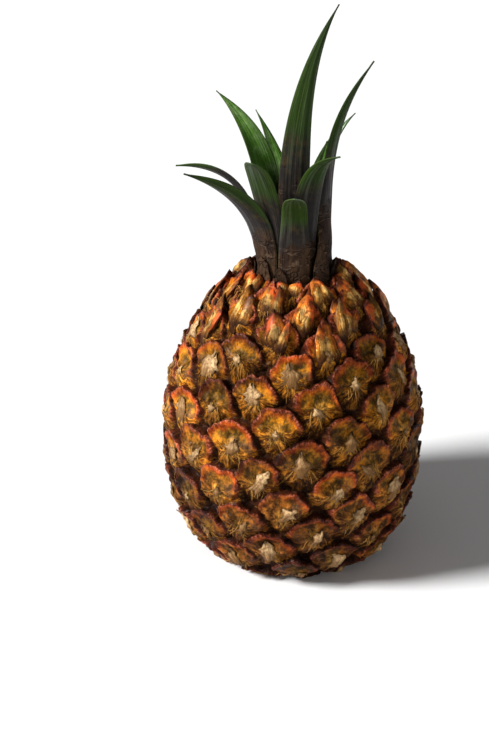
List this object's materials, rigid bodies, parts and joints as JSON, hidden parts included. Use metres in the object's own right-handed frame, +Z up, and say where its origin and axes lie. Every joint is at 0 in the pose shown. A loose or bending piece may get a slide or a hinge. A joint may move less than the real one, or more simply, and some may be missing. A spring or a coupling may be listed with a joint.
{
  "type": "pineapple",
  "caption": "Whole ripe pineapple: egg-shaped fruit covered in spiral eyes with papery bract tips, standing on its flat base under a sparse crown of arching strap leaves.",
  "frame": {"origin": "middle of the cut stalk's flat end, on the surface that the fruit stands on", "axes": "+Z up along the fruit towards the crown, -Y towards the viewer, +X to the right"},
  "size_m": [0.1336, 0.1331, 0.291],
  "materials": {
    "rind": "fresh pineapple rind, waxy golden brown with red-brown rims and fibrous bracts",
    "leaf": "stiff waxy leaf, dark green above, grey bloom below",
    "stem": "cut fibrous stalk, pale and dry"
  },
  "bodies": {
    "root": {"fruit": "rind", "cut_stalk": "stem", "crown_stem": "stem", "leaf_front": "leaf", "leaf_front_left": "leaf", "leaf_left": "leaf", "leaf_back_left": "leaf", "leaf_back": "leaf", "leaf_right": "leaf", "leaf_mid_front_left": "leaf", "leaf_mid_front_right": "leaf", "leaf_mid_left": "leaf", "leaf_mid_back": "leaf", "leaf_mid_right": "leaf", "leaf_tall": "leaf", "leaf_inner_left": "leaf", "leaf_inner_back": "leaf", "leaf_inner_right": "leaf", "leaf_heart_left": "leaf", "leaf_heart_right": "leaf"}
  },
  "joints": []
}
